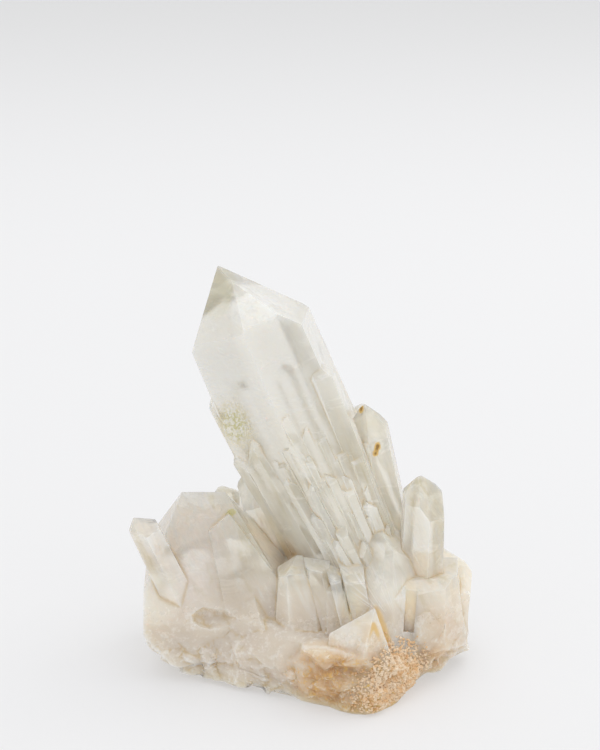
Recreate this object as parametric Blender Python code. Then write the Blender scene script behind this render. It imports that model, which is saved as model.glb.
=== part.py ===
"""A quartz crystal cluster, grown as one piece and broken from its vein.

One large six-sided point leans to the left. Slender blades that grew parallel to it sheathe its lower
half and run down into the bed. Smaller points stand round its foot, and all of them rise from a lumpy
mass of quartz that ends below in a rough bed with a flat underside, on which the cluster stands.

Lengths are in millimetres and angles in degrees. X runs to the right, Y away from the front, Z up.
"""

import itertools
import math
import random

import bmesh
import bpy
import numpy as np
from mathutils import Matrix, Vector, noise

MM = 0.001
NAME = "quartz_cluster"

# Quartz habit: six sides, and pyramid faces that stand this steep against the long axis
SIDES = 6
CAP_SLOPE = 38.2
# Corners closer together than this are one corner
SAME_CORNER = 0.002
# What differs by chance between the faces of a crystal: how far out its sides stand, as shares of its half
# width, and how far its pyramid faces lie below the tip, as shares of the same
SIDE_SHARES = (0.86, 1.12)
CAP_DROPS = (0.0, 0.2, 0.5, 0.9)
POINT_NARROWING = 1.2

# The main point. Its axis runs a little to the right of the tip
POINT_TIP = Vector((-18.3, 12.1, 98.4))
POINT_FOOT = Vector((17.2, 2.3, 14.3))
POINT_HALF = 13.4
POINT_ROLL = -7.0
POINT_TAPER = 1.0
# Its sides and pyramid faces: right, back right, back left, left, front left, front right
POINT_SIDES = (1.0, 1.0, 1.0, 1.06, 1.0, 1.08)
POINT_CAPS = (3.8, 2.6, 0.9, 0.0, -0.3, -2.3)
# The left side draws in towards the foot from here down
POINT_WAIST_HEIGHT = 45.0
POINT_WAIST = (0.0, 0.0, 8.0, 16.0, 6.0, 0.0)
# The corners of its front, across from the tip and out towards the front
POINT_FRONT = ((-13.3, 5.5), (0.8, 16.1), (13.9, 10.5), (16.3, -6.0))

# The sheath's blades run down to this far below the main tip
SHEATH_FOOT_BELOW = 96.0
SHEATH_FOOT_DEPTH = 0.8
# How far the main point's tip lies to the left of its axis
POINT_OFFSET = 1.7
# What differs by chance between the blades, and how far a half buried tip shows to the left
BLADE_SHARES = (0.9, 1.1)
BLADE_DROP = 0.5
BLADE_TURN = 4.0
BLADE_NARROWING = 0.8
BLADE_TIP_SHIFT = 0.4
BLADE_BIG_CAPS = (0, 3, 4, 5)
BLADE_SLANT = 0.9

# The bed: its outline seen from above, and how much of that its underside keeps. The front tip is first
BED_OUTLINE = (
    (16, -32, 0.95), (6, -28, 0.93), (-5, -22, 0.90), (-17, -16.5, 0.88), (-29, -12.5, 0.86), (-36, -5, 0.84),
    (-36, 8, 0.82), (-27, 19, 0.85), (-12, 26, 0.86), (6, 28, 0.86), (22, 25, 0.86), (34, 17, 0.86),
    (40, 4, 0.88), (36, -8, 0.92), (28, -20, 0.94), (22, -28, 0.95),
)
BED_STEPS = 56
# Each ring of the bed: its height, the share of the undercut that is left there, and the share of the outline
BED_RINGS = (
    (0.0, 1.0, 1.0), (2.0, 0.45, 1.0), (4.6, 0.12, 1.0),
    (7.4, 0.0, 1.0), (10.2, 0.0, 0.96), (12.4, 0.0, 0.86),
)
BED_TOP = 13.5
BED_ROUGHNESS = 1.9
BED_GRAIN = 0.16

# A plate's lower part: how far it runs out past the ends of its ridge, and where its left heel is cut off
PLATE_LEFT_REACH = 9.0
PLATE_RIGHT_REACH = 16.0
PLATE_HEEL_BELOW = 31.0
PLATE_HEEL_RISE = -40.0
PLATE_SKEW = 6.0
PLATE_RIDGE = Vector((-0.02, 0, 1))

# How far a lump's faces stand out or in from its egg shape, by chance
LUMP_SHARES = (0.94, 1.04)
LUMP_CUTS = 56
LUMP_LOW = 1.2


def clear_scene():
    for obj in list(bpy.data.objects):
        bpy.data.objects.remove(obj, do_unlink=True)


def new_object(name, bm):
    """The mesh, scaled from millimetres to metres, as an object of its own."""
    bmesh.ops.recalc_face_normals(bm, faces=bm.faces)
    mesh = bpy.data.meshes.new(name)
    bm.to_mesh(mesh)
    bm.free()
    mesh.transform(Matrix.Scale(MM, 4))
    obj = bpy.data.objects.new(name, mesh)
    bpy.context.scene.collection.objects.link(obj)
    return obj


def direction(turn, rise=0.0):
    """A unit vector, turned round Z from +X and raised above the level."""
    turn, rise = math.radians(turn), math.radians(rise)
    return Vector((math.cos(turn) * math.cos(rise), math.sin(turn) * math.cos(rise), math.sin(rise)))


def inside_planes(planes):
    """The corners of the space that is left inside all the planes, each a point and an outward normal."""
    normals = np.array([normal.normalized()[:] for _, normal in planes])
    reach = np.array([point.dot(normal.normalized()) for point, normal in planes])
    trios = np.array(list(itertools.combinations(range(len(planes)), 3)))
    meeting = abs(np.linalg.det(normals[trios])) > 1e-6
    corners = np.linalg.solve(normals[trios][meeting], reach[trios][meeting][..., None])[..., 0]
    return corners[(corners @ normals.T <= reach + 1e-6).all(axis=1)]


def solid(name, planes, place=None, top=None):
    """The convex solid inside the planes. With top, it is slid along Z until its highest corner is there."""
    corners = inside_planes(planes)
    bm = bmesh.new()
    for corner in corners:
        bm.verts.new(corner)
    bmesh.ops.remove_doubles(bm, verts=bm.verts, dist=SAME_CORNER)
    hull = bmesh.ops.convex_hull(bm, input=bm.verts)
    spare = set(hull["geom_interior"] + hull["geom_unused"])
    bmesh.ops.delete(bm, geom=[vert for vert in bm.verts if vert in spare], context="VERTS")
    bmesh.ops.dissolve_limit(bm, angle_limit=math.radians(0.05), verts=bm.verts, edges=bm.edges)
    if top is not None:
        bmesh.ops.translate(bm, vec=(0, 0, top - max(v.co.z for v in bm.verts)), verts=bm.verts)
    if place:
        bmesh.ops.transform(bm, matrix=place, verts=bm.verts)
    return new_object(name, bm)


def crystal_axes(tip, foot):
    """The long axis of a crystal, and the two directions across it: to the right and away from the front."""
    along = (tip - foot).normalized()
    right = (Vector((1, 0, 0)) - along * along.x).normalized()
    return along, right, along.cross(right)


def crystal(name, tip, foot, half, roll, taper, sides, caps, waist=None):
    """A six-sided prism with a pyramid on top.

    half is the distance from the axis to a side at the shoulder, roll turns the sides round the axis, and
    taper is the angle at which they draw in upwards. sides are the shares of half at which the six sides
    stand, and caps the distances by which the pyramid's faces lie below the tip. waist gives for each side
    the angle at which it draws in below POINT_WAIST_HEIGHT.
    """
    tip, foot = Vector(tip), Vector(foot)
    along, right, away = crystal_axes(tip, foot)
    length = (tip - foot).length
    shoulder = length - half / math.tan(math.radians(CAP_SLOPE))
    up = Vector((0, 0, 1))

    planes = [(Vector((0, 0, 0)), -up), (up * (length + half), up)]
    for side, (share, drop) in enumerate(zip(sides, caps)):
        turn = roll + 360 / SIDES * side
        planes.append((direction(turn) * half * share + up * shoulder, direction(turn, taper)))
        planes.append((up * (length - drop), direction(turn, CAP_SLOPE)))
        if waist:
            girth = half * share + (shoulder - POINT_WAIST_HEIGHT) * math.tan(math.radians(taper))
            planes.append((direction(turn) * girth + up * POINT_WAIST_HEIGHT, direction(turn, -waist[side])))
    place = Matrix.Translation(foot) @ Matrix((right, away, along)).transposed().to_4x4()
    return solid(name, planes, place, top=length)


def small_point(name, tip, foot, half, roll, seed):
    """A crystal whose faces differ by chance, as on a real one."""
    chance = random.Random(seed)
    sides = [chance.uniform(*SIDE_SHARES) for _ in range(SIDES)]
    caps = [chance.choice(CAP_DROPS) * half for _ in range(SIDES)]
    return crystal(name, tip, foot, half, roll, POINT_NARROWING, sides, caps)


def plate(name, left_end, right_end, slopes, front, back, low):
    """A broad crystal whose front and back faces meet in a level ridge.

    slopes are the angles from upright of its left, right, front and back faces, front and back the places
    in Y where its lower part ends, and low its lowest height.
    """
    left_end, right_end = Vector(left_end), Vector(right_end)
    left, right, fore, aft = slopes
    planes = [
        (left_end, direction(180 + PLATE_SKEW, left)), (right_end, direction(PLATE_SKEW, right)),
        (left_end, direction(270, fore)), (left_end, direction(90, aft)),
        (Vector((0, front, 0)), direction(270)), (Vector((0, back, 0)), direction(90)),
        (Vector((0, 0, low)), Vector((0, 0, -1))), (right_end, PLATE_RIDGE),
        (left_end - Vector((PLATE_LEFT_REACH, 0, 0)), direction(180)),
        (left_end - Vector((PLATE_LEFT_REACH, 0, PLATE_HEEL_BELOW)), direction(180, PLATE_HEEL_RISE)),
        (right_end + Vector((PLATE_RIGHT_REACH, 0, 0)), direction(0)),
    ]
    return solid(name, planes)


def lump(name, centre, size, turn, seed):
    """A blunt lump with broken faces, cut by planes that touch an ellipsoid of the given size."""
    chance = random.Random(seed)
    centre, half = Vector(centre), Vector(size) / 2
    up = Vector((0, 0, 1))
    planes = [(up * (LUMP_LOW - centre.z), -up), (up * half.z, up)]
    for side in range(0, 360, 90):
        normal = direction(side)
        planes.append((Vector([normal[i] * half[i] for i in range(3)]), normal))
    for _ in range(LUMP_CUTS):
        normal = Vector([chance.gauss(0, 1) for _ in range(3)]).normalized()
        reach = Vector([normal[i] * half[i] for i in range(3)]).length
        planes.append((normal * reach * chance.uniform(*LUMP_SHARES), normal))
    return solid(name, planes, Matrix.Translation(centre) @ Matrix.Rotation(math.radians(turn), 4, "Z"))


def block(name, faces):
    """A solid with flat faces, each given by a point on it, its turn and its rise."""
    return solid(name, [(Vector(point), direction(turn, rise)) for point, turn, rise in faces])


def outline_point(share):
    """A point on a smooth closed curve through BED_OUTLINE, with share from 0 to 1 round it."""
    count = len(BED_OUTLINE)
    first = int(share * count) % count
    t = share * count - int(share * count)
    a, b, c, d = (Vector(BED_OUTLINE[(first + i - 1) % count]) for i in range(4))
    return 0.5 * (2 * b + (c - a) * t + (2 * a - 5 * b + 4 * c - d) * t**2 + (3 * b - a - 3 * c + d) * t**3)


def bed():
    """The rough bed: rings that follow the outline, roughened, with a flat underside."""
    bm = bmesh.new()
    loops = []
    for height, undercut, reach in BED_RINGS:
        ring = []
        for step in range(BED_STEPS):
            spot = outline_point(step / BED_STEPS)
            share = reach * (1 - (1 - spot.z) * undercut)
            point = Vector((spot.x * share, spot.y * share, height))
            rough = noise.noise_vector(point * BED_GRAIN) * BED_ROUGHNESS
            if height == 0:
                rough.z = 0
            ring.append(bm.verts.new(point + rough))
        loops.append(ring)
    for lower, upper in zip(loops, loops[1:]):
        for step in range(BED_STEPS):
            after = (step + 1) % BED_STEPS
            bm.faces.new((lower[step], lower[after], upper[after], upper[step]))
    bm.faces.new(list(reversed(loops[0])))
    summit = bm.verts.new((0, 0, BED_TOP))
    for step in range(BED_STEPS):
        bm.faces.new((loops[-1][step], loops[-1][(step + 1) % BED_STEPS], summit))
    bmesh.ops.triangulate(bm, faces=[face for face in bm.faces if len(face.verts) == 4])
    return new_object("bed", bm)


def main_point():
    """The large point, with the faces as they stand on it."""
    return crystal(
        "main_point", POINT_TIP, POINT_FOOT, POINT_HALF, POINT_ROLL, POINT_TAPER, POINT_SIDES, POINT_CAPS,
        POINT_WAIST,
    )


def front_depth(across):
    """How far the main point's front stands out from its axis, at a place across it."""
    for (x0, d0), (x1, d1) in zip(POINT_FRONT, POINT_FRONT[1:]):
        if across <= x1:
            return d0 + (d1 - d0) * (across - x0) / (x1 - x0)
    return POINT_FRONT[-1][1]


def blade(name, below, across, foot_across, proud, half, seed, behind=False):
    """One blade of the sheath. below and across place its tip against the main tip, foot_across its lower
    end, and proud is how far it stands out of the main point's side."""
    along, right, away = crystal_axes(POINT_TIP, POINT_FOOT)
    chance = random.Random(seed)
    start = POINT_TIP - right * POINT_OFFSET
    # The blade shows from where its pyramid comes out of the main point's side
    hidden = max(0.0, half - proud)
    below = below - hidden / math.tan(math.radians(CAP_SLOPE))
    across = across - hidden * BLADE_TIP_SHIFT
    # The back of the main point is shaped much like its front turned half round
    depth = (front_depth(-across if behind else across) + proud - half) * (-1 if behind else 1)
    tip = start - along * below + right * across - away * depth
    foot = start - along * SHEATH_FOOT_BELOW + right * foot_across - away * depth * SHEATH_FOOT_DEPTH
    sides = [chance.uniform(*BLADE_SHARES) for _ in range(SIDES)]
    caps = [chance.uniform(0.0, BLADE_DROP) * half for _ in range(SIDES)]
    # One face of the pyramid has outgrown the others, so the tip is slanted
    caps[chance.choice(BLADE_BIG_CAPS)] += half * BLADE_SLANT
    roll = POINT_ROLL + chance.uniform(-BLADE_TURN, BLADE_TURN)
    return crystal(name, tip, foot, half, roll, chance.uniform(0.0, BLADE_NARROWING), sides, caps)


# Blades on the front: the tip's place below the main tip and across it, the foot's place across, how far
# the blade stands out, and its half width
FRONT_BLADES = (
    (29.0, -13.2, -9.0, 0.6, 1.5), (44.5, -12.2, -5.5, 1.0, 2.4), (41.8, -7.0, -1.5, 1.9, 4.4),
    (51.5, -3.4, 0.8, 2.2, 1.4), (46.5, -2.6, 1.2, 1.1, 1.8), (36.6, 1.6, 3.2, 0.6, 1.7),
    (43.0, 0.2, 2.4, 0.9, 1.2), (41.8, 4.6, 5.0, 0.9, 1.8), (47.5, 3.0, 4.0, 1.3, 1.3),
    (45.4, 7.6, 8.0, 0.9, 1.8), (53.5, 6.0, 6.4, 1.6, 1.4), (49.5, 10.4, 9.4, 1.1, 1.7),
    (58.5, 8.8, 8.0, 1.8, 1.5), (52.0, 13.4, 11.0, 1.7, 2.3), (57.1, 17.2, 13.5, 2.3, 2.4),
    (32.5, 13.6, 10.5, 1.1, 3.5), (61.5, -0.8, 1.6, 2.2, 1.3), (67.0, 3.6, 4.2, 2.3, 1.4),
    (64.0, 12.0, 10.0, 2.2, 1.7), (73.0, 6.6, 6.4, 2.9, 1.5), (76.0, 0.6, 2.6, 3.2, 1.4),
    (48.0, 18.4, 13.5, 1.2, 2.2),
)
# Thin blades that fill the front between those, placed by chance inside these limits
FINE_BLADES = 24
FINE_BELOW = (42.0, 74.0)
FINE_PROUD = (0.5, 2.0)
FINE_ACROSS = (-4.5, 14.5)
FINE_FOOT = (0.5, 10.5)
FINE_HALF = (0.7, 1.25)
# Blades on the back, which are a guess
BACK_BLADES = (
    (36.0, -11.0, -6.0, 1.4, 3.0), (46.0, -5.5, -2.0, 1.8, 2.2), (31.0, 0.5, 1.0, 1.0, 2.6),
    (52.0, 3.2, 2.4, 2.6, 2.4), (43.0, 8.5, 7.0, 1.8, 2.8), (60.0, -2.0, 0.0, 3.4, 2.0),
    (58.0, 11.0, 9.0, 3.0, 2.2), (63.0, -8.0, -3.0, 3.6, 2.2),
)

# Points round the main one: tip, foot, half width, roll and seed
POINTS = {
    "far_left": ((-38.8, -9.0, 41.8), (-26.0, -8.5, 12.0), 3.5, 12, 3),
    "behind_left": ((-11.8, 11.0, 44.6), (5.0, 7.0, 12.0), 5.8, -7, 11),
    "cavity": ((0.0, -1.0, 31.0), (4.0, -3.0, 13.0), 2.6, 25, 14),
    "right_back": ((15.6, 5.0, 64.5), (26.0, 1.0, 13.0), 4.4, -7, 17),
    "right": ((30.0, -6.0, 50.3), (29.4, -6.0, 17.0), 4.9, 4, 21),
    "back_tall": ((9.0, 23.0, 46.0), (14.0, 10.0, 12.0), 4.6, 16, 57),
    "back_left": ((-21.0, 24.0, 35.0), (-10.0, 13.0, 8.0), 4.8, 33, 60),
    "back_low": ((-3.0, 29.0, 30.0), (0.0, 16.0, 8.0), 3.8, 20, 63),
    "back_right": ((27.0, 24.0, 34.0), (21.0, 12.0, 8.0), 4.4, 2, 66),
    "back_small": ((18.0, 29.0, 25.0), (14.0, 18.0, 6.0), 2.7, 45, 69),
    "side_left": ((-35.0, 13.0, 26.0), (-26.0, 6.0, 7.0), 3.6, 52, 75),
}

# The broad crystal: the ends of its ridge, the slopes of its four faces, front, back and lowest
PLATES = {
    "left_plate": ((-28.9, 1.5, 43.4), (-18.7, 1.5, 44.0), (26.4, 33.0, 31.0, 31.0), -15.0, 15.0, 4.0),
}

# Blocky crystals with broken or uneven faces: a point on each face, and that face's turn and rise
BLOCKS = {
    "right_block": (
        ((38.0, 0.0, 22.6), -80, 78), ((42.3, 0.0, 18.0), -6, -5), ((39.4, -9.4, 12.0), -46, 3),
        ((34.0, -12.4, 12.0), -84, 7), ((41.6, 0.0, 21.6), -15, 42), ((40.2, 8.0, 12.0), 44, 9),
        ((34.0, 12.5, 12.0), 94, 12), ((26.0, 0.0, 12.0), 180, 0), ((34.0, 0.0, 2.0), 0, -90),
        ((40.0, 0.0, 5.0), -12, -40),
    ),
    "left_front_plate": (
        ((-17.3, -2.4, 39.1), 184, 53), ((-17.3, -2.4, 39.1), -6, 43), ((-22.4, -3.4, 35.6), 188, -10),
        ((-20.0, -2.6, 38.5), -92, 29), ((0.0, -15.2, 0.0), -90, 0), ((0.0, 6.0, 0.0), 90, 0),
        ((0.0, 0.0, 8.0), 0, -90),
    ),
    "front_plate": (
        ((-4.8, -16.0, 28.0), 182, 56), ((-2.5, -16.0, 29.2), -86, 78), ((1.2, -16.0, 29.2), -6, 43),
        ((3.6, -16.0, 26.8), -6, 33), ((5.8, -16.0, 23.6), -10, 18), ((7.2, -17.0, 19.2), -12, 2),
        ((-5.0, -16.0, 27.0), 184, 5), ((0.0, -16.6, 26.0), -86, 17), ((4.6, -17.0, 21.0), -44, 15),
        ((-4.0, -16.2, 24.0), -136, 10), ((0.0, -8.0, 20.0), 90, 0), ((0.0, 0.0, 8.0), 0, -90),
    ),
    "front_slab": (
        ((-17.0, -17.0, 6.0), -112, 12), ((-17.0, -14.2, 17.5), -112, 42), ((-26.0, -12.6, 12.0), -150, 14),
        ((-3.0, -20.6, 12.0), -66, 24), ((0.0, -12.0, 10.0), 90, 0), ((0.0, 0.0, 1.5), 0, -90),
        ((-29.0, -8.0, 12.0), 180, 20), ((-6.0, -14.0, 16.0), -30, 42),
    ),
    "blade_left": (
        ((4.2, -14.0, 30.8), -60, 72), ((1.2, -14.0, 31.0), 184, -14), ((7.2, -14.0, 30.0), -4, 14),
        ((4.0, -16.4, 28.0), -94, 12), ((2.0, -15.9, 28.0), -140, 3), ((6.4, -15.9, 27.0), -44, 15),
        ((0.0, -11.5, 20.0), 90, 0), ((0.0, 0.0, 8.0), 0, -90),
    ),
    "blade_middle": (
        ((7.6, -15.6, 29.4), -30, 62), ((6.7, -16.0, 29.0), 184, -14), ((9.8, -16.0, 28.0), -4, 13),
        ((8.0, -17.8, 27.0), -104, 13), ((9.0, -17.6, 27.0), -56, 13),
        ((0.0, -12.5, 20.0), 90, 0), ((0.0, 0.0, 8.0), 0, -90),
    ),
    "blade_right": (
        ((12.4, -15.0, 28.6), -70, 58), ((9.9, -15.0, 29.0), 184, -15), ((15.4, -15.0, 28.0), -4, 13),
        ((12.5, -16.8, 27.0), -80, 13), ((10.6, -16.6, 27.0), -124, 9),
        ((0.0, -11.5, 20.0), 90, 0), ((0.0, 0.0, 8.0), 0, -90),
    ),
    "fan": (
        ((20.0, -17.0, 24.0), -88, 30), ((15.0, -15.0, 24.0), -116, 30), ((25.2, -14.6, 24.0), -52, 24),
        ((20.0, -10.6, 36.0), -90, 66), ((12.8, -12.0, 24.0), 184, -14), ((28.0, -10.0, 24.0), 0, 2),
        ((23.0, -10.6, 33.5), -20, 46),
        ((0.0, -3.0, 20.0), 90, 0), ((0.0, 0.0, 6.0), 0, -90),
    ),
    "right_front": (
        ((31.0, -16.2, 18.0), -76, 12), ((31.0, -14.4, 24.6), -82, 52), ((30.0, -14.0, 26.2), -85, 84),
        ((37.5, -13.2, 14.0), -42, 8), ((40.5, -6.0, 12.0), -5, 8), ((22.5, -15.0, 20.0), 180, 0),
        ((0.0, -2.0, 0.0), 90, 0), ((33.0, -16.0, 8.5), -62, -50), ((0.0, 0.0, 2.0), 0, -90),
    ),
    "tooth": (
        ((17.5, -26.5, 26.0), -121, 27), ((17.5, -26.5, 26.0), -54, 12), ((17.5, -26.5, 26.0), 110, 35),
        ((17.5, -26.5, 26.0), 15, 17), ((14.6, -31.5, 14.2), -97, -36), ((6.0, -27.0, 12.0), 170, 5),
        ((15.0, -27.0, 9.0), 0, -90),
    ),
}

# Lumps of the quartz mass between the points: centre, size, turn and seed
LUMPS = {
    "left_mass": ((-21, 0, 14), (31, 23, 30), 0, 2),
    "left_shoulder": ((-28.4, -3.6, 12), (18, 22, 24), -8, 4),
    "front_low_mass": ((-4, -13, 9), (34, 20, 17), -28, 7),
    "centre_mass": ((6, 0, 14), (36, 32, 27), 0, 8),
    "front_mass": ((9, -20, 8), (30, 20, 14), -20, 10),
    "ledge": ((6.4, -25.4, 14.4), (14, 7.6, 3.2), -20, 5),
    "right_mass": ((27, -6, 12), (24, 25, 26), 30, 12),
    "right_foot": ((32, 1, 11), (18, 24, 22), 0, 14),
    "back_mass": ((4, 14, 13), (50, 24, 26), 0, 16),
    "back_left_mass": ((-18, 11, 12), (34, 22, 27), -8, 18),
}

# What is cut from the front: a blunt pit, as centre, size, turn and seed, and a straight-sided slot
PITS = {
    "oval_pit": ((-20.8, -15.4, 17.4), (11.5, 5.8, 5.6), -8, 21),
}
SLOTS = {
    "slot": (
        ((25.1, -16.0, 20.0), 176, 3), ((27.8, -16.0, 20.0), -8, -2), ((26.5, -13.8, 20.0), 88, 10),
        ((26.5, -16.0, 27.0), -90, 70), ((26.5, -16.0, 14.0), -100, -60), ((26.5, -30.0, 20.0), -90, 0),
    ),
}


def combine(body, others, operation="UNION"):
    """Unites the other solids with the body, or cuts them from it, one after another, and removes them."""
    for other in others:
        modifier = body.modifiers.new("combine", "BOOLEAN")
        modifier.operation = operation
        modifier.solver = "EXACT"
        modifier.object = other
        graph = bpy.context.evaluated_depsgraph_get()
        mesh = bpy.data.meshes.new_from_object(body.evaluated_get(graph))
        body.modifiers.clear()
        body.data = mesh
        bpy.data.objects.remove(other, do_unlink=True)


def close_hollows(obj):
    """Fills the hollows that the union left sealed inside, by keeping only the largest skin."""
    bm = bmesh.new()
    bm.from_mesh(obj.data)
    left = set(bm.verts)
    skins = []
    while left:
        skin, edge = set(), {left.pop()}
        while edge:
            skin |= edge
            edge = {link.other_vert(vert) for vert in edge for link in vert.link_edges} - skin
        left -= skin
        skins.append(skin)
    skins.sort(key=len)
    for skin in skins[:-1]:
        bmesh.ops.delete(bm, geom=list(skin), context="VERTS")
    bm.to_mesh(obj.data)
    bm.free()


def stand_on_origin(obj):
    """Moves the mesh so that its box is centred over the origin and stands on it."""
    corners = [Vector(c) for c in obj.bound_box]
    low = Vector([min(c[i] for c in corners) for i in range(3)])
    high = Vector([max(c[i] for c in corners) for i in range(3)])
    obj.data.transform(Matrix.Translation((-(low.x + high.x) / 2, -(low.y + high.y) / 2, -low.z)))


def quartz_material():
    material = bpy.data.materials.new("milky_quartz")
    material.use_nodes = True
    shader = material.node_tree.nodes["Principled BSDF"]
    shader.inputs["Base Color"].default_value = (0.82, 0.79, 0.72, 1)
    shader.inputs["Roughness"].default_value = 0.22
    shader.inputs["Metallic"].default_value = 0.0
    shader.inputs["IOR"].default_value = 1.544
    return material


def fine_blades():
    """Thin blades, spread evenly across the front and started at heights that differ."""
    chance = random.Random(7)
    found = []
    for number in range(FINE_BLADES):
        share = (number + chance.uniform(0.2, 0.8)) / FINE_BLADES
        across = FINE_ACROSS[0] + (FINE_ACROSS[1] - FINE_ACROSS[0]) * share
        foot = FINE_FOOT[0] + (FINE_FOOT[1] - FINE_FOOT[0]) * share
        below = chance.uniform(*FINE_BELOW)
        depth = (below - FINE_BELOW[0]) / (FINE_BELOW[1] - FINE_BELOW[0])
        proud = FINE_PROUD[0] + (FINE_PROUD[1] - FINE_PROUD[0]) * depth
        half = chance.uniform(*FINE_HALF)
        found.append(blade(f"fine_blade_{number}", below, across, foot, proud, half, 300 + number))
    return found


def pieces():
    """Every solid of the cluster but the bed, from the mass upwards."""
    found = [lump(name, *values) for name, values in LUMPS.items()]
    found += [plate(name, *values) for name, values in PLATES.items()]
    found += [block(name, faces) for name, faces in BLOCKS.items()]
    found.append(main_point())
    for number, values in enumerate(FRONT_BLADES):
        found.append(blade(f"front_blade_{number}", *values, 100 + number))
    found += fine_blades()
    for number, values in enumerate(BACK_BLADES):
        found.append(blade(f"back_blade_{number}", *values, 200 + number, behind=True))
    found += [small_point(name, *values) for name, values in POINTS.items()]
    return found


def main():
    clear_scene()
    cluster = bed()
    cluster.name = NAME
    combine(cluster, pieces())
    combine(cluster, [lump(name, *values) for name, values in PITS.items()], "DIFFERENCE")
    combine(cluster, [block(name, faces) for name, faces in SLOTS.items()], "DIFFERENCE")
    close_hollows(cluster)
    stand_on_origin(cluster)
    cluster.data.materials.clear()
    cluster.data.materials.append(quartz_material())


main()
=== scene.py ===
import math
import random

import bmesh
import bpy
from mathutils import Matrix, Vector, noise


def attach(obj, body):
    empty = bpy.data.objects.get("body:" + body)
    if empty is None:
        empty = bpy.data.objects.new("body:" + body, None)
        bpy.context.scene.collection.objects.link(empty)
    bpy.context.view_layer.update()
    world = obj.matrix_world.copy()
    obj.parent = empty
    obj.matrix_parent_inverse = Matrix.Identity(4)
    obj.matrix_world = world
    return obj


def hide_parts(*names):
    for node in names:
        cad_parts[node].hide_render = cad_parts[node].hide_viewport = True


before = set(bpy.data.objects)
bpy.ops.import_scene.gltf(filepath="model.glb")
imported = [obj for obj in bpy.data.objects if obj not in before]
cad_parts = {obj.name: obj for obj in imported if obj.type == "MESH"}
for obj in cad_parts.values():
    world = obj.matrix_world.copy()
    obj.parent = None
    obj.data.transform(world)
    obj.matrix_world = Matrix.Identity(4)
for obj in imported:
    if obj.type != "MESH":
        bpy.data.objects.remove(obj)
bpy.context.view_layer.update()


# The cluster itself: quartz points that grew together on one piece of vein rock. The faces are grown
# faces, so they stay flat and glossy with faint growth lines across them, and their edges are a little
# worn. The bed below is where the piece broke from its vein, so it is rough and lumpy.
MM = 0.001
NODE = "quartz_cluster"
# Places on the cluster are given in millimetres, as it was laid out. SHIFT brings an object's own
# coordinates there
SHIFT = Vector((0.889, -0.768, 0.0))

bpy.ops.object.select_all(action="DESELECT")
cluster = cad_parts[NODE].copy()
cluster.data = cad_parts[NODE].data.copy()
cluster.name = "crystal_cluster"
bpy.context.scene.collection.objects.link(cluster)

# The longest edges of the mesh: on the crust at the low front, and everywhere further off than FACE_REACH
SAME_CORNER = 0.002 * MM
FLAT_WITHIN = math.radians(0.3)
LONGEST_CRUST_EDGE = 0.66 * MM
LONGEST_EDGE = 1.36 * MM
CRUST_CENTRE = Vector((14.0, -30.0, 9.0))
CRUST_REACH = 10.0
FACE_REACH = 27.0
SPLIT_ROUNDS = 12


def work_on(obj):
    """Makes one object the only one selected and the active one."""
    bpy.ops.object.select_all(action="DESELECT")
    obj.hide_set(False)
    obj.select_set(True)
    bpy.context.view_layer.objects.active = obj


def longest_at(spot_mm):
    """The longest edge allowed at a place: shorter towards the rough crust at the front."""
    share = ((spot_mm - CRUST_CENTRE).length - CRUST_REACH) / (FACE_REACH - CRUST_REACH)
    return LONGEST_CRUST_EDGE + (LONGEST_EDGE - LONGEST_CRUST_EDGE) * min(1.0, max(0.0, share))


def split_long_edges(obj):
    """Halves every edge that is too long for its place until none is left, and keeps the faces triangles."""
    work_on(obj)
    for _ in range(SPLIT_ROUNDS):
        bpy.ops.object.mode_set(mode="EDIT")
        bpy.ops.mesh.select_mode(type="EDGE")
        bpy.ops.mesh.select_all(action="DESELECT")
        mesh = bmesh.from_edit_mesh(obj.data)
        found = False
        for edge in mesh.edges:
            middle_mm = (edge.verts[0].co + edge.verts[1].co) / 2 / MM + SHIFT
            if edge.calc_length() > longest_at(middle_mm):
                edge.select_set(True)
                found = True
        mesh.select_flush_mode()
        if found:
            bpy.ops.mesh.subdivide(number_cuts=1)
            bpy.ops.mesh.select_all(action="SELECT")
            bpy.ops.mesh.quads_convert_to_tris(quad_method="SHORTEST_DIAGONAL", ngon_method="BEAUTY")
        bpy.ops.object.mode_set(mode="OBJECT")
        if not found:
            break


work_on(cluster)
bpy.ops.mesh.customdata_custom_splitnormals_clear()
bpy.ops.object.mode_set(mode="EDIT")
bpy.ops.mesh.select_all(action="SELECT")
bpy.ops.mesh.remove_doubles(threshold=SAME_CORNER)
bpy.ops.mesh.dissolve_limited(angle_limit=FLAT_WITHIN)
bpy.ops.mesh.quads_convert_to_tris(quad_method="BEAUTY", ngon_method="BEAUTY")
bpy.ops.object.mode_set(mode="OBJECT")
split_long_edges(cluster)

# Every edge is worn by handling, and three corners of the bed are broken blunt: their centres and reaches
WEAR = 0.18
BLUNT_ROUNDS = 30
BLUNT_CORNERS = (((27.0, -22.5, 8.0), 7.5), ((-4.0, -23.0, 13.6), 6.5), ((16.0, -31.0, 12.0), 6.0))
smooth = cluster.modifiers.new("worn_edges", "SMOOTH")
smooth.factor = WEAR
smooth.iterations = 1
bpy.ops.object.modifier_apply(modifier=smooth.name)
blunt = cluster.vertex_groups.new(name="blunt")
for vert in cluster.data.vertices:
    place_mm = vert.co / MM + SHIFT
    weight = max(1 - (place_mm - Vector(centre)).length / reach for centre, reach in BLUNT_CORNERS)
    if weight > 0:
        blunt.add([vert.index], min(1.0, weight * 2), "REPLACE")
smooth = cluster.modifiers.new("blunt_corners", "SMOOTH")
smooth.vertex_group = "blunt"
smooth.factor = 0.5
smooth.iterations = BLUNT_ROUNDS
bpy.ops.object.modifier_apply(modifier=smooth.name)

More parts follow.
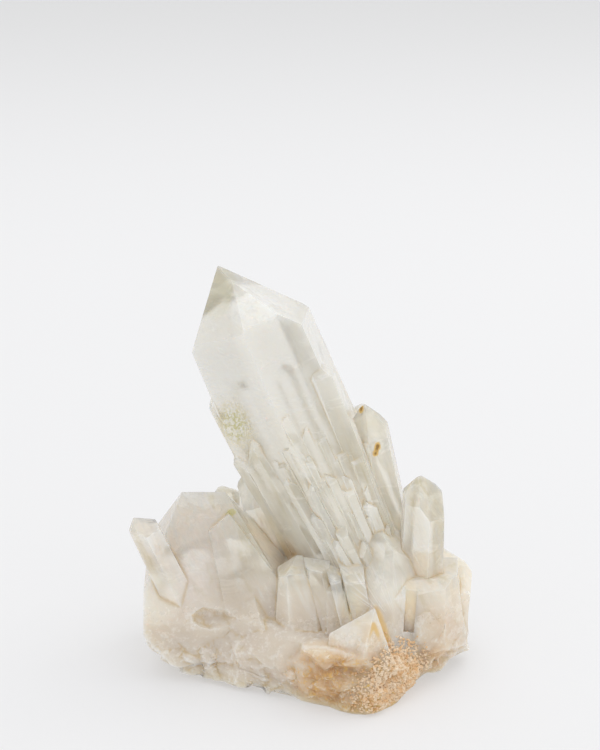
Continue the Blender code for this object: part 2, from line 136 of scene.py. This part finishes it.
# The broken bed and the mass above it: chips, flakes where the crust is, and a coarse grain. They are
# strongest low down, fade out upwards, and end at the flat underside. Sizes and heights in millimetres
CHIP_SIZE, CHIP_TILT = 4.6, 0.34
FLAKE_SIZE, FLAKE_TILT = 1.9, 0.4
COARSE_SIZE, COARSE_HEIGHT = 1.5, 0.20
COARSE_FALL, COARSE_STEP, COARSE_LAYERS = 0.9, 2.0, 3
CHANCE_STEP = 7.3
UNDERSIDE = (0.2, 1.6)
ROUGH_UP_TO = (9.0, 25.0)
DEEP_UP_TO = (6.0, 15.0)
FLAKES_WITHIN = (8.0, 20.0)


def rise_between(value, low, high):
    """0 below low, 1 above high and smooth between, for a number."""
    share = min(1.0, max(0.0, (value - low) / (high - low)))
    return share * share * (3 - 2 * share)


def chip(spot_mm, size):
    """How far a broken surface stands out here: each chip of about this size is a face tilted by chance."""
    middle = noise.voronoi(spot_mm / size)[1][0]
    tilt = noise.cell_vector(middle * CHANCE_STEP) - Vector((0.5, 0.5, 0.5))
    return (spot_mm / size - middle).dot(tilt) * size


mesh = bmesh.new()
mesh.from_mesh(cluster.data)
mesh.normal_update()
moves = []
for vert in mesh.verts:
    spot_mm = vert.co / MM + SHIFT
    rough = (1 - rise_between(spot_mm.z, *ROUGH_UP_TO)) * rise_between(spot_mm.z, *UNDERSIDE)
    deep = 1 - rise_between(spot_mm.z, *DEEP_UP_TO)
    if rough <= 0:
        continue
    crust = 1 - rise_between((spot_mm - CRUST_CENTRE).length, *FLAKES_WITHIN)
    out = chip(spot_mm, CHIP_SIZE) * CHIP_TILT * (0.35 + deep)
    out += chip(spot_mm, FLAKE_SIZE) * FLAKE_TILT * crust
    coarse = noise.fractal(spot_mm / COARSE_SIZE, COARSE_FALL, COARSE_STEP, COARSE_LAYERS)
    out += coarse * COARSE_HEIGHT * (0.5 + deep)
    moves.append((vert, vert.normal * out * rough * MM))
for vert, move in moves:
    vert.co += move

# The slot beside the right crystal and the gaps between the front blades are shallow: the box across and
# up, where its front and back lie 20 mm up, how much these move for each mm further down, and the depth kept
SHALLOW_HEIGHT = 20.0
SHALLOW = (
    ((24.7, 29.2), (13.5, 26.6), (-16.3, -13.4), (-0.30, 0.18), 0.12),
    ((6.3, 13.4), (13.0, 26.3), (-18.6, -13.0), (-0.27, -0.10), 0.10),
)
for vert in mesh.verts:
    spot_mm = vert.co / MM + SHIFT
    for (left, right), (bottom, top), (front, back), (front_slope, back_slope), kept in SHALLOW:
        front_mm = front + (SHALLOW_HEIGHT - spot_mm.z) * front_slope
        back_mm = back + (SHALLOW_HEIGHT - spot_mm.z) * back_slope
        if left < spot_mm.x < right and bottom < spot_mm.z < top and front_mm < spot_mm.y < back_mm:
            vert.co.y -= (spot_mm.y - front_mm) * (1 - kept) * MM

# How far each place stands out from what is round it: 1 on a sharp ridge, -1 in a crease
RIDGE_GAIN = 4
RIDGE_REACH = 0.5 * MM
RIDGE_OWN_SHARE = 0.6
SHARP_EDGE = math.radians(24)
mesh.normal_update()
ridge = {}
for vert in mesh.verts:
    near = [edge.other_vert(vert).co for edge in vert.link_edges]
    reach = sum((spot - vert.co).length for spot in near) / len(near)
    middle = sum(near, Vector()) / len(near)
    rise = (vert.co - middle).dot(vert.normal) / max(reach, RIDGE_REACH) * RIDGE_GAIN
    ridge[vert] = max(-1.0, min(1.0, rise))
mesh.verts.ensure_lookup_table()
values = []
for vert in mesh.verts:
    near = [ridge[edge.other_vert(vert)] for edge in vert.link_edges]
    values.append(RIDGE_OWN_SHARE * ridge[vert] + (1 - RIDGE_OWN_SHARE) * sum(near) / len(near))
mesh.to_mesh(cluster.data)
mesh.free()
attribute = cluster.data.attributes.new("ridge", "FLOAT", "POINT")
attribute.data.foreach_set("value", values)
bpy.ops.object.shade_smooth_by_angle(angle=SHARP_EDGE)


class Wire:
    """One value that runs through a material. Sums on it add the nodes that work them out."""

    def __init__(self, tree, socket):
        self.tree, self.socket = tree, socket

    def node(self, kind, settings, values, output=0):
        made = self.tree.nodes.new(kind)
        for name, value in settings.items():
            setattr(made, name, value)
        for name, value in values.items():
            if isinstance(value, Wire):
                self.tree.links.new(value.socket, made.inputs[name])
            else:
                made.inputs[name].default_value = value
        return Wire(self.tree, made.outputs[output])

    def maths(self, operation, first, second):
        return self.node("ShaderNodeMath", {"operation": operation}, {0: first, 1: second})

    def __add__(self, other):
        return self.maths("ADD", self, other)

    def __radd__(self, other):
        return self.maths("ADD", other, self)

    def __sub__(self, other):
        return self.maths("SUBTRACT", self, other)

    def __rsub__(self, other):
        return self.maths("SUBTRACT", other, self)

    def __mul__(self, other):
        return self.maths("MULTIPLY", self, other)

    def __rmul__(self, other):
        return self.maths("MULTIPLY", other, self)


def new_material(name):
    """An empty material, and the first wire in it: the place on the piece in millimetres."""
    material = bpy.data.materials.new(name)
    material.use_nodes = True
    tree = material.node_tree
    tree.nodes.clear()
    start = Wire(tree, tree.nodes.new("ShaderNodeTexCoord").outputs["Object"])
    scaled = start.node("ShaderNodeVectorMath", {"operation": "SCALE"}, {0: start, "Scale": 1 / MM})
    place = start.node("ShaderNodeVectorMath", {"operation": "ADD"}, {0: scaled, 1: SHIFT})
    return material, place


def lay_on(obj, material, surface, volume=None):
    """Ends the material with its surface, and what fills it, and makes it the object's only one."""
    output = material.node_tree.nodes.new("ShaderNodeOutputMaterial")
    material.node_tree.links.new(surface.socket, output.inputs["Surface"])
    if volume is not None:
        material.node_tree.links.new(volume.socket, output.inputs["Volume"])
    obj.data.materials.clear()
    obj.data.materials.append(material)


def clamp01(value):
    """The value held between 0 and 1."""
    return value.node("ShaderNodeClamp", {}, {"Value": value, "Min": 0.0, "Max": 1.0})


def fade(value, low, high):
    """0 below low and 1 above high, smooth between. With low above high it falls instead."""
    return value.node(
        "ShaderNodeMapRange", {"interpolation_type": "SMOOTHSTEP"},
        {"Value": value, "From Min": min(low, high), "From Max": max(low, high),
         "To Min": 0.0 if low < high else 1.0, "To Max": 1.0 if low < high else 0.0},
    )


def cloud(place, size, detail=3.0, rough=0.55, shape=(1, 1, 1), warp=0.0):
    """Cloudy noise from 0 to 1, with lumps of about the given size in millimetres."""
    stretched = place.node(
        "ShaderNodeVectorMath", {"operation": "MULTIPLY"}, {0: place, 1: Vector(shape) / size}
    )
    return place.node(
        "ShaderNodeTexNoise", {},
        {"Vector": stretched, "Scale": 1.0, "Detail": detail, "Roughness": rough, "Distortion": warp},
    )


def bands(value, often, detail, rough=0.5):
    """Noise from 0 to 1 that changes along one value alone."""
    return value.node(
        "ShaderNodeTexNoise", {"noise_dimensions": "1D"},
        {"W": value * often, "Scale": 1.0, "Detail": detail, "Roughness": rough},
    )


def spot(place, centre, reach, edge=0.5):
    """1 inside an egg round the centre and 0 outside it, with a soft edge."""
    off = place.node("ShaderNodeVectorMath", {"operation": "SUBTRACT"}, {0: place, 1: Vector(centre)})
    share = place.node(
        "ShaderNodeVectorMath", {"operation": "MULTIPLY"}, {0: off, 1: Vector([1 / r for r in reach])}
    )
    length = place.node("ShaderNodeVectorMath", {"operation": "LENGTH"}, {0: share}, "Value")
    return fade(length, 1.0, 1.0 - edge)


def dot(place, direction):
    """How far along a direction the place lies."""
    return place.node("ShaderNodeVectorMath", {"operation": "DOT_PRODUCT"}, {0: place, 1: direction}, "Value")


def seam(place, start, end, width):
    """1 on the straight line between two places and 0 a width away from it."""
    along_line = (Vector(end) - Vector(start)).normalized()
    length = (Vector(end) - Vector(start)).length
    off = place.node("ShaderNodeVectorMath", {"operation": "SUBTRACT"}, {0: place, 1: Vector(start)})
    turned = place.node("ShaderNodeVectorMath", {"operation": "CROSS_PRODUCT"}, {0: off, 1: along_line})
    aside = place.node("ShaderNodeVectorMath", {"operation": "LENGTH"}, {0: turned}, "Value")
    run = dot(off, along_line)
    return fade(aside, width, 0.0) * fade(run, -width, width) * fade(run, length + width, length - width)


def patches(place, eggs, lines=()):
    """The eggs and lines together, from 0 to 1. An egg is its centre, reach, edge and strength."""
    total = 0.0
    for centre, reach, edge, strength in eggs:
        total = total + spot(place, centre, reach, edge) * strength
    for start, end, width in lines:
        total = total + seam(place, start, end, width)
    return clamp01(total)


def blend(mask, below, above):
    """A colour that goes from one to the other as the mask rises."""
    return mask.node("ShaderNodeMix", {"data_type": "RGBA"}, {"Factor": mask, 6: below, 7: above}, 2)


# Quartz: colourless and clear where it grew slowly, clouded by tiny cracks and bubbles where it grew
# fast, and stained yellow to rust by iron where water ran down to the bed. The large point's tip and axis
# give the direction of its growth lines
POINT_TIP = Vector((-18.3, 12.1, 98.4))
POINT_AXIS = Vector((-35.5, 9.8, 84.1)).normalized()
POINT_RIGHT = (Vector((1, 0, 0)) - POINT_AXIS * POINT_AXIS.x).normalized()
POINT_AWAY = POINT_AXIS.cross(POINT_RIGHT)
GRAIN_STRETCH = 0.05

quartz, place = new_material("clouded_quartz")
along = dot(place, POINT_AXIS)
across = dot(place, POINT_RIGHT)
outward = dot(place, POINT_AWAY)
below_tip = POINT_TIP.dot(POINT_AXIS) - along
height = place.node("ShaderNodeSeparateXYZ", {}, {0: place}, "Z")
in_grain = place.node("ShaderNodeCombineXYZ", {}, {"X": across, "Y": outward, "Z": along * GRAIN_STRETCH})

broad = cloud(place, 14.0)
middling = cloud(place, 5.0, detail=5.0)
fine = cloud(place, 1.4, detail=4.0)
grit = cloud(place, 0.55, detail=2.0)
streaks = cloud(in_grain, 2.6, detail=3.0, warp=0.3)
fibres = cloud(in_grain, 0.8, detail=3.0)
wisps = fade(cloud(place, 7.0, detail=5.0, rough=0.6, shape=(0.7, 0.7, 1.6), warp=0.6), 0.54, 0.70)
ragged = (middling - 0.5) * 1.6 + (fine - 0.5) * 2.4

# From the white point down through the beige sheath to the bed, with the rosy left crystals and the
# beige block at the right laid over, and streaks along the sheath's grain
POINT_WHITE = (0.77, 0.755, 0.705, 1)
SHEATH_BEIGE = (0.75, 0.70, 0.58, 1)
BED_BEIGE = (0.70, 0.62, 0.52, 1)
ROSY = (0.83, 0.755, 0.69, 1)
BLOCK_BEIGE = (0.82, 0.74, 0.62, 1)
STREAK_OLIVE = (0.54, 0.47, 0.30, 1)
STREAK_WHITE = (0.84, 0.84, 0.80, 1)
LEFT_CRYSTALS = (((-30.0, -6.0, 36.0), (18.0, 20.0, 24.0), 0.5, 1.0),)
RIGHT_BLOCK = (((34.0, -4.0, 24.0), (18.0, 16.0, 16.0), 0.4, 1.0),)
sheath = fade(below_tip, 34.0, 56.0) * fade(height, 16.0, 27.0)
colour = blend(fade(below_tip + (broad - 0.5) * 24.0, 26.0, 58.0), POINT_WHITE, SHEATH_BEIGE)
colour = blend(fade(height + (middling - 0.5) * 10.0, 38.0, 20.0), colour, BED_BEIGE)
colour = blend(patches(place, LEFT_CRYSTALS) * 0.9, colour, ROSY)
colour = blend(patches(place, RIGHT_BLOCK) * 0.9, colour, BLOCK_BEIGE)
colour = blend(fade(streaks, 0.52, 0.70) * sheath * 0.55, colour, STREAK_OLIVE)
colour = blend(fade(streaks, 0.47, 0.30) * sheath * 0.55, colour, STREAK_WHITE)
colour = blend(fade(fibres, 0.55, 0.75) * sheath * 0.35, colour, STREAK_WHITE)

# Single crystals and corners that are paler, greyer or greener than what is round them, and painted light:
# the warm eggs and some pale ones lighten facets and crevices that lie in shade
PALE_AND_LIT = (0.90, 0.87, 0.79, 1)
MASS_GREY = (0.56, 0.47, 0.36, 1)
PALE_PEACH = (0.76, 0.60, 0.43, 1)
WARM_FILL_LIGHT = (0.93, 0.82, 0.62, 1)
# Paler crystals, and painted light on some facets that lie in shade
PALE_AND_LIT_EGGS = (
    ((21.0, 0.0, 48.0), (8.0, 8.0, 20.0), 0.4, 1.0),
    ((22.0, -15.0, 28.0), (8.0, 6.0, 11.0), 0.5, 1.0),
    ((30.0, -11.0, 38.0), (7.0, 8.0, 15.0), 0.4, 0.1),
    ((6.0, -10.0, 44.0), (9.0, 6.0, 9.0), 0.7, 1.0),
    ((-34.0, -12.0, 22.0), (7.0, 8.0, 9.0), 0.5, 0.7),
    ((-12.0, 7.0, 36.0), (7.0, 8.0, 11.0), 0.4, 1.0),
)
GREY_EGGS = (
    ((-4.0, -16.0, 22.0), (9.0, 6.0, 9.0), 0.5, 0.1),
    ((-17.0, -11.0, 27.0), (8.0, 7.0, 10.0), 0.6, 1.0),
)
PEACH_EGGS = (
    ((33.0, -16.0, 12.0), (11.0, 9.0, 10.0), 0.6, 1.0),
    ((17.5, -28.5, 18.0), (3.6, 3.0, 5.5), 0.4, 1.0),
    ((4.0, -27.0, 15.0), (10.0, 5.0, 5.0), 0.6, 1.0),
)
OLIVE_EGGS = (((-11.0, -2.5, 54.0), (7.0, 6.0, 9.0), 0.6, 1.0),)
SLOT_EGG = ((26.4, -12.5, 20.0), (2.4, 6.0, 8.5), 0.4, 1.0)
# Painted warm light in the slot, in the gap between the front blades and on the shaded crystals behind
WARM_LIGHT_EGGS = (
    SLOT_EGG,
    ((11.6, -15.5, 21.0), (5.5, 4.0, 8.0), 0.4, 1.0),
    ((-9.0, 2.0, 32.0), (7.0, 8.0, 8.0), 0.4, 1.0),
)
LAID_OVER = (
    (PALE_AND_LIT_EGGS, 0.7, PALE_AND_LIT), (GREY_EGGS, 0.4, MASS_GREY), (PEACH_EGGS, 0.5, PALE_PEACH),
    (OLIVE_EGGS, 0.45, STREAK_OLIVE), (WARM_LIGHT_EGGS, 0.85, WARM_FILL_LIGHT),
)
for eggs, strength, tint in LAID_OVER:
    colour = blend(patches(place, eggs) * strength, colour, tint)

# Inside: wisps of tiny cracks, the white veil under the cap, the greenish clear tip and the olive stain
VEIL_WHITE = (0.80, 0.80, 0.77, 1)
TIP_OLIVE = (0.72, 0.705, 0.55, 1)
OLIVE = (0.52, 0.47, 0.22, 1)
colour = blend(wisps * fade(height, 18.0, 30.0) * 0.45, colour, VEIL_WHITE)
veil = spot(place, (-9.5, 3.0, 90.5), (11.0, 10.0, 7.0)) * fade(middling + fine * 0.5, 0.52, 0.85)
colour = blend(veil * 0.9, colour, VEIL_WHITE)
tip_window = spot(place, (-20.0, 8.0, 93.5), (5.5, 10.0, 8.5), 0.25)
colour = blend(tip_window * 0.7, colour, TIP_OLIVE)
stain = spot(place, (-15.8, -0.8, 61.5), (8.0, 8.0, 9.0), 0.8)
colour = blend(stain * 0.3, colour, OLIVE)

# Iron in the stone: rust on the low front, ochre along its cracks, and brown in the hollow behind the
# front crystals
PEACH = (0.66, 0.47, 0.29, 1)
RUST = (0.50, 0.26, 0.08, 1)
OCHRE = (0.70, 0.40, 0.10, 1)
HOLLOW_BROWN = (0.42, 0.27, 0.10, 1)
RUSTY_EGGS = (
    ((11.0, -31.0, 7.5), (22.0, 15.0, 10.5), 0.45, 1.0),
    ((27.0, -21.0, 5.0), (17.0, 12.0, 9.0), 0.5, 0.75),
)
rusty = patches(place, RUSTY_EGGS)
peach_mask = clamp01(rusty * fade(broad + middling * 0.6, 0.5, 0.95) * 1.4)
rust_mask = rusty * fade(middling + fine * 0.5, 0.64, 0.90)
ochre_mask = rusty * fade(fine + grit * 0.6, 0.80, 1.02)
colour = blend(peach_mask * 0.85, colour, PEACH)
colour = blend(rust_mask * 0.8, colour, RUST)
colour = blend(ochre_mask * 0.6, colour, OCHRE)
deep_hollow = spot(place, (-2.0, -3.0, 26.0), (6.0, 9.0, 6.5), 0.8)
colour = blend(deep_hollow * (0.5 + middling * 0.5), colour, HOLLOW_BROWN)

# Ridges get a painted white highlight, and creases a painted shade with some dirt in it. The bed is frosted
# between the rust, and the crests of its ledge and of the tooth are white
EDGE_HIGHLIGHT = (0.90, 0.89, 0.85, 1)
SHADE_AND_DIRT_BROWN = (0.56, 0.45, 0.26, 1)
FROST = (0.92, 0.89, 0.84, 1)
CREST_LINES = (
    ((-3.0, -24.0, 14.6), (5.9, -27.0, 16.0), 1.2),
    ((5.9, -27.0, 16.0), (15.0, -30.4, 14.6), 1.2),
    ((17.0, -26.5, 23.0), (9.0, -26.2, 17.0), 1.6),
)
CREST_EGGS = (((12.6, -26.5, 18.5), (5.0, 3.0, 4.0), 0.5, 1.0),)
stands_out = place.node(
    "ShaderNodeAttribute", {"attribute_type": "GEOMETRY", "attribute_name": "ridge"}, {}, "Fac"
)
# Painted highlight on the ridges, and painted shade with some dirt in the creases
edges = fade(stands_out, 0.25, 0.9) * (0.4 + fine * 0.8)
creases = fade(stands_out, -0.10, -0.7)
colour = blend(edges * 0.4, colour, EDGE_HIGHLIGHT)
colour = blend(creases * (0.25 + middling * 0.5), colour, SHADE_AND_DIRT_BROWN)
# Painted shade along the bottom edge of the bed, browner in its lowest few millimetres
bottom_shade = fade(height + (fine - 0.5) * 3.0, 4.5, 1.0)
colour = blend(bottom_shade * 0.45, colour, SHADE_AND_DIRT_BROWN)
frost = fade(fine + (middling - 0.5) * 0.5 + (grit - 0.5) * 0.5, 0.48, 0.74) * fade(height, 25.0, 16.0)
colour = blend(frost * (1 - rusty) * 0.45, colour, FROST)
colour = blend(patches(place, CREST_EGGS, CREST_LINES) * (0.2 + fine * 0.5), colour, FROST)

# The fan at the front right is fluted by growth lines that spread from its foot
FAN_FOOT_X = 24.5
FAN_FOOT_HEIGHT = 16.0
FAN_OFTEN = 26.0
fan_x = place.node("ShaderNodeSeparateXYZ", {}, {0: place}, "X") - FAN_FOOT_X
fan_angle = place.node("ShaderNodeMath", {"operation": "ARCTAN2"}, {0: fan_x, 1: height - FAN_FOOT_HEIGHT})
fan_lines = bands(fan_angle, FAN_OFTEN, detail=3.0)
fan = spot(place, (19.5, -16.0, 27.0), (9.0, 5.0, 10.0), 0.4)
colour = blend(fan * fade(fan_lines, 0.50, 0.64) * 0.7, colour, FROST)

# Iron that dried on the surface as a dull film. First the olive speckle of the stain, and three rusty
# spots with a brown heart on the long right point
FILM_TAN = (0.74, 0.59, 0.38, 1)
FILM_OLIVE = (0.60, 0.56, 0.30, 1)
FILM_OCHRE = (0.76, 0.50, 0.16, 1)
FILM_BROWN = (0.26, 0.13, 0.03, 1)
RUST_SPOTS = (
    ((14.9, 6.4, 63.2), (1.17, 1.8, 1.53), 0.95, 1.0),
    ((18.7, -0.2, 56.1), (1.43, 2.2, 1.87), 0.95, 1.0),
    ((18.2, -0.8, 54.6), (1.17, 1.8, 1.53), 0.95, 1.0),
)
film = stain * fade(grit + fine * 0.4, 0.62, 0.82)
film_colour = blend(stain, FILM_TAN, FILM_OLIVE)
spots = patches(place, RUST_SPOTS)
film = film + fade(spots + ragged * 0.50, 0.10, 0.70) * fade(spots, 0.0, 0.05)
film_colour = blend(fade(spots, 0.0, 0.1), film_colour, FILM_OCHRE)
film_colour = blend(fade(spots + ragged * 0.45, 0.70, 1.05) * 0.85, film_colour, FILM_BROWN)

# Then the yellow patch on the left crystal's shoulder, a trace in the slot, the seams of the tooth and
# the hollow behind the front crystals
FILM_YELLOW = (0.55, 0.50, 0.14, 1)
FILM_HOLLOW = (0.62, 0.45, 0.24, 1)
TOOTH_LINES = (
    ((17.6, -18.4, 22.6), (20.9, -22.6, 14.0), 2.2),
    ((17.1, -27.6, 22.5), (20.5, -28.5, 15.5), 1.2),
    ((17.1, -27.6, 22.5), (14.9, -29.6, 16.5), 0.9),
)
yellow = spot(place, (-16.6, -1.1, 39.1), (2.2, 2.6, 1.6), 0.9)
film = film + fade(yellow + ragged * 0.4, 0.35, 0.9) * 0.6
film_colour = blend(fade(yellow, 0.0, 0.2), film_colour, FILM_YELLOW)
film = film + patches(place, (SLOT_EGG,)) * 0.15
tooth_seams = patches(place, (), TOOTH_LINES)
film = film + fade(tooth_seams + ragged * 0.25, 0.15, 0.7) * 0.8
film_colour = blend(tooth_seams, film_colour, FILM_OCHRE)
hollow = spot(place, (-3.2, -2.0, 29.0), (6.0, 9.0, 6.0), 0.8)
film = film + hollow * (0.2 + streaks * 0.5)
film_colour = blend(hollow, film_colour, FILM_HOLLOW)

# Last the crust at the low front, the creases up to the point, and the ochre cracks
CRUST_EGGS = (((22.0, -26.5, 5.5), (14.0, 12.0, 11.0), 0.7, 1.3),)
crust = patches(place, CRUST_EGGS)
film = film + crust * (0.35 + fine * 0.5)
film_colour = blend(crust, film_colour, PEACH)
film_colour = blend(crust * fade(middling, 0.45, 0.62), film_colour, FILM_OCHRE)
film = film + creases * (0.25 + middling * 0.3) * fade(height, 80.0, 40.0)
film = film + ochre_mask * 0.35
film_colour = blend(ochre_mask, film_colour, FILM_OCHRE)

# How clouded the quartz is, from clear at 0 to milky at 1. Only light that comes in from outside meets
# the clouds: from inside, the surface lets it out
cloudiness = 0.42 + fade(below_tip, 6.0, 20.0) * 0.10 + (broad - 0.5) * 0.18 + (middling - 0.5) * 0.14
cloudiness = cloudiness + veil * 0.25 + wisps * 0.16 + fade(height, 31.0, 19.0) * 0.42
cloudiness = clamp01(cloudiness + peach_mask * 0.1 + (streaks - 0.5) * sheath * 0.5)
inside = Wire(quartz.node_tree, quartz.node_tree.nodes.new("ShaderNodeNewGeometry").outputs["Backfacing"])

# Growth lines across the point, fibres along the sheath, the fan's flutes and a grainy bed, in low relief
RELIEF_DEPTH = 0.16 * MM
RELIEF_STRENGTH = 0.6
lines = bands(below_tip, 2.6, detail=4.0, rough=0.7)
low = fade(height, 26.0, 12.0)
relief = lines * 0.2 + fibres * sheath * 0.8 + fine * (0.25 + low * 1.1) + grit * (0.15 + low * 0.8)
relief = relief + fan * fan_lines * 1.2
bump = place.node(
    "ShaderNodeBump", {}, {"Strength": RELIEF_STRENGTH, "Distance": RELIEF_DEPTH, "Height": relief}
)
roughness = clamp01(0.14 + low * 0.24 + (fine - 0.5) * 0.25 + peach_mask * 0.1)

# Clear quartz, milky quartz and the iron film, mixed. Light that crosses the stone is tinted a little
QUARTZ_IOR = 1.544
CLEAR = (0.98, 0.98, 0.97, 1)
MILK_REACH = 9.0 * MM
MILK_TINT = (1.0, 0.9, 0.75)
DEPTH_TINT = (0.86, 0.81, 0.66, 1)
DEPTH_DENSITY = 16.0
FILM_ROUGHNESS = 0.6
clear = place.node(
    "ShaderNodeBsdfPrincipled", {},
    {"Base Color": CLEAR, "Roughness": roughness, "IOR": QUARTZ_IOR, "Transmission Weight": 1.0,
     "Normal": bump},
)
milky = place.node(
    "ShaderNodeBsdfPrincipled", {},
    {"Base Color": colour, "Roughness": roughness, "IOR": QUARTZ_IOR, "Subsurface Weight": 1.0,
     "Subsurface Radius": MILK_TINT, "Subsurface Scale": MILK_REACH, "Normal": bump},
)
stone = place.node("ShaderNodeMixShader", {}, {0: cloudiness * (1 - inside), 1: clear, 2: milky})
iron = place.node(
    "ShaderNodeBsdfPrincipled", {}, {"Base Color": film_colour, "Roughness": FILM_ROUGHNESS, "Normal": bump}
)
mixed = place.node("ShaderNodeMixShader", {}, {0: clamp01(film) * (1 - inside), 1: stone, 2: iron})
depth = place.node("ShaderNodeVolumeAbsorption", {}, {"Color": DEPTH_TINT, "Density": DEPTH_DENSITY})
lay_on(cluster, quartz, mixed, depth)
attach(cluster, "root")
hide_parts(NODE)


# The crust at the front: a skin of tiny quartz points, each under a millimetre across and coloured by
# iron, that grew over the broken rock in every direction.
GRAIN_COUNT = 2600
GRAIN_ZONE = Vector((23.0, -26.0, 4.5))
GRAIN_WITHIN = (4.0, 14.0)
GRAIN_ABOVE = 0.8
GRAIN_STEM, GRAIN_TIP = 1.6, 0.9
GRAIN_RADII = (0.18, 0.44)
GRAIN_LEAN = (-0.5, 0.5)
GRAIN_WIDTHS = (0.7, 1.0)
GRAIN_LENGTHS = (0.7, 1.3)
GRAIN_SUNK = 0.85
chance = random.Random(4)

bpy.ops.object.select_all(action="DESELECT")
bpy.ops.mesh.primitive_cylinder_add(vertices=6, radius=1.0, depth=GRAIN_STEM, location=(0, 0, 0))
grain = bpy.context.object
bpy.ops.object.mode_set(mode="EDIT")
bpy.ops.mesh.select_mode(type="FACE")
bpy.ops.mesh.select_all(action="DESELECT")
bpy.ops.object.mode_set(mode="OBJECT")
for face in grain.data.polygons:
    face.select = face.normal.z > 0.9
bpy.ops.object.mode_set(mode="EDIT")
bpy.ops.mesh.poke(offset=GRAIN_TIP)
bpy.ops.object.mode_set(mode="OBJECT")

faces = []
for face in cluster.data.polygons:
    middle_mm = face.center / MM + SHIFT
    near = 1 - rise_between((middle_mm - GRAIN_ZONE).length, *GRAIN_WITHIN)
    if middle_mm.z > GRAIN_ABOVE and near > 0 and face.normal.z > -0.3:
        faces.append((face.center.copy(), face.normal.copy(), near * face.area))
weights = [entry[2] for entry in faces]
grains = []
for centre, normal, _ in chance.choices(faces, weights=weights, k=GRAIN_COUNT):
    size = chance.uniform(*GRAIN_RADII) * MM
    lean = Vector([chance.uniform(*GRAIN_LEAN) for _ in range(3)])
    copy = grain.copy()
    copy.data = grain.data.copy()
    copy.location = centre - normal * size * GRAIN_SUNK
    copy.rotation_euler = (normal + lean).to_track_quat("Z", "Y").to_euler()
    copy.scale = (size, size * chance.uniform(*GRAIN_WIDTHS), size * chance.uniform(*GRAIN_LENGTHS))
    bpy.context.scene.collection.objects.link(copy)
    grains.append(copy)
bpy.data.objects.remove(grain)
bpy.ops.object.select_all(action="DESELECT")
for copy in grains:
    copy.select_set(True)
bpy.context.view_layer.objects.active = grains[0]
bpy.ops.object.join()
crust_grains = bpy.context.object
crust_grains.name = "crust_grains"
bpy.ops.object.transform_apply(location=True, rotation=True, scale=True)

GRAIN_WHITE = (0.84, 0.68, 0.50, 1)
GRAIN_ORANGE = (0.78, 0.52, 0.28, 1)
PORE_DEPTH = 0.05 * MM
PORE_STRENGTH = 0.4
iron_quartz, place = new_material("iron_quartz")
mottle = cloud(place, 1.3)
shade = cloud(place, 4.5)
tint = blend(fade(mottle + (shade - 0.5) * 0.8, 0.38, 0.66), GRAIN_WHITE, GRAIN_ORANGE)
pores = cloud(place, 0.3, detail=2.0)
bump = place.node("ShaderNodeBump", {}, {"Strength": PORE_STRENGTH, "Distance": PORE_DEPTH, "Height": pores})
sugary = place.node(
    "ShaderNodeBsdfPrincipled", {},
    {"Base Color": tint, "Roughness": 0.30 + pores * 0.2, "IOR": QUARTZ_IOR, "Normal": bump},
)
lay_on(crust_grains, iron_quartz, sugary)
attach(crust_grains, "root")


# The table: a sheet of plain white card much larger than the view, laid just under the cluster. The card
# glows a little by itself, more so towards the front: painted light that lightens the shadows on it.
CARD_SIZE = 6.0
CARD_MIDDLE = (0, 1.2, -0.00005)
CARD_WHITE = (0.44, 0.44, 0.442, 1)
GLOW_NEAR = (0.405, 0.405, 0.41, 1)
GLOW_FAR = (0.30, 0.30, 0.30, 1)
bpy.ops.object.select_all(action="DESELECT")
bpy.ops.mesh.primitive_plane_add(size=CARD_SIZE, location=CARD_MIDDLE)
floor = bpy.context.object
floor.name = "floor"
card = bpy.data.materials.new("white_card")
card.use_nodes = True
shader = card.node_tree.nodes["Principled BSDF"]
shader.inputs["Base Color"].default_value = CARD_WHITE
shader.inputs["Roughness"].default_value = 0.7
shader.inputs["Specular IOR Level"].default_value = 0.2
shader.inputs["Emission Strength"].default_value = 1.0
start = Wire(card.node_tree, card.node_tree.nodes.new("ShaderNodeTexCoord").outputs["Object"])
away = start.node("ShaderNodeSeparateXYZ", {}, {0: start}, "Y")
# Painted glow of the card, brighter near the front
glow = blend(fade(away, -0.9, -0.1), GLOW_NEAR, GLOW_FAR)
card.node_tree.links.new(glow.socket, shader.inputs["Emission Color"])
floor.data.materials.append(card)


# Light: a bright white room, one large soft window from the right, and one from above. Both face the
# middle of the cluster.
ROOM_WHITE = (0.985, 0.99, 1.0, 1)
ROOM_STRENGTH = 0.86
CLUSTER_MIDDLE = (0, 0, 0.04)
world = bpy.data.worlds.new("room")
bpy.context.scene.world = world
world.use_nodes = True
world.node_tree.nodes["Background"].inputs["Color"].default_value = ROOM_WHITE
world.node_tree.nodes["Background"].inputs["Strength"].default_value = ROOM_STRENGTH


def window(name, place, size, power, colour):
    """A square soft light that faces the middle of the cluster."""
    data = bpy.data.lights.new(name, "AREA")
    data.shape = "SQUARE"
    data.size = size
    data.energy = power
    data.color = colour
    obj = bpy.data.objects.new(name, data)
    bpy.context.scene.collection.objects.link(obj)
    obj.location = place
    obj.rotation_euler = (Vector(CLUSTER_MIDDLE) - Vector(place)).to_track_quat("-Z", "Y").to_euler()


window("window_right", (0.75, 0.35, 0.95), 0.8, 2.2, (1.0, 0.99, 0.97))
window("window_above", (0.15, 0.0, 1.2), 1.2, 2.8, (1.0, 1.0, 1.0))


# The camera stands where the photograph was taken from: in front, a little above, looking down.
# Its distance and lens give the cluster the size that it has in the picture.
CAMERA_DISTANCE = 0.450
CAMERA_RISE = math.radians(20)
LOOKED_AT = Vector((-0.000889, 0.000768, 0.0743))
data = bpy.data.cameras.new("camera")
data.sensor_width = 36
data.lens = 90.72
data.clip_start = 0.01
data.clip_end = 20
camera = bpy.data.objects.new("camera", data)
bpy.context.scene.collection.objects.link(camera)
camera.location = LOOKED_AT + CAMERA_DISTANCE * Vector((0, -math.cos(CAMERA_RISE), math.sin(CAMERA_RISE)))
camera.rotation_euler = (math.pi / 2 - CAMERA_RISE, 0, 0)
bpy.context.scene.camera = camera
bpy.context.scene.view_settings.view_transform = "Standard"
